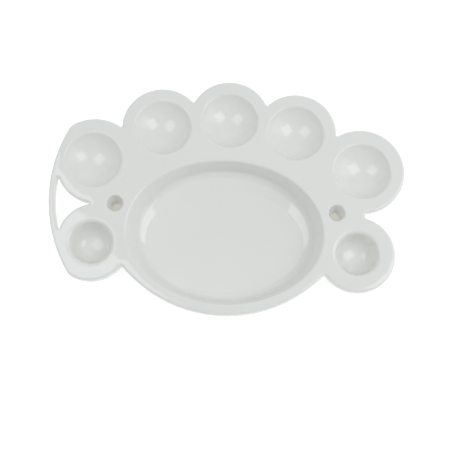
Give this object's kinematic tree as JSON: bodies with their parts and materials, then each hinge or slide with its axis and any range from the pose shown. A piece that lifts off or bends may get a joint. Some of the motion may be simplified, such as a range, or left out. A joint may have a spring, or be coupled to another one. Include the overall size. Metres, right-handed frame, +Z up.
{
  "type": "mixing palette",
  "caption": "Moulded plastic mixing palette: large oval mixing well ringed by round paint wells on a lobed deck, with brush sockets and a finger loop.",
  "frame": {"origin": "centre of the flat underside of the mixing well, the face the palette rests on", "axes": "+X along the palette's length, towards the end without the finger loop; +Y away from the painter, towards the arc of large wells; +Z up, out of the wells"},
  "size_m": [0.2486, 0.1686, 0.0186],
  "materials": {
    "white_plastic": "glossy injection-moulded white plastic"
  },
  "bodies": {
    "root": {"deck": "white_plastic", "mixing_well": "white_plastic", "paint_well_back_centre": "white_plastic", "paint_well_back_left": "white_plastic", "paint_well_back_right": "white_plastic", "paint_well_upper_left": "white_plastic", "paint_well_upper_right": "white_plastic", "paint_well_lower_left": "white_plastic", "paint_well_lower_right": "white_plastic", "brush_socket_left": "white_plastic", "brush_socket_right": "white_plastic", "finger_bar": "white_plastic"}
  },
  "joints": []
}
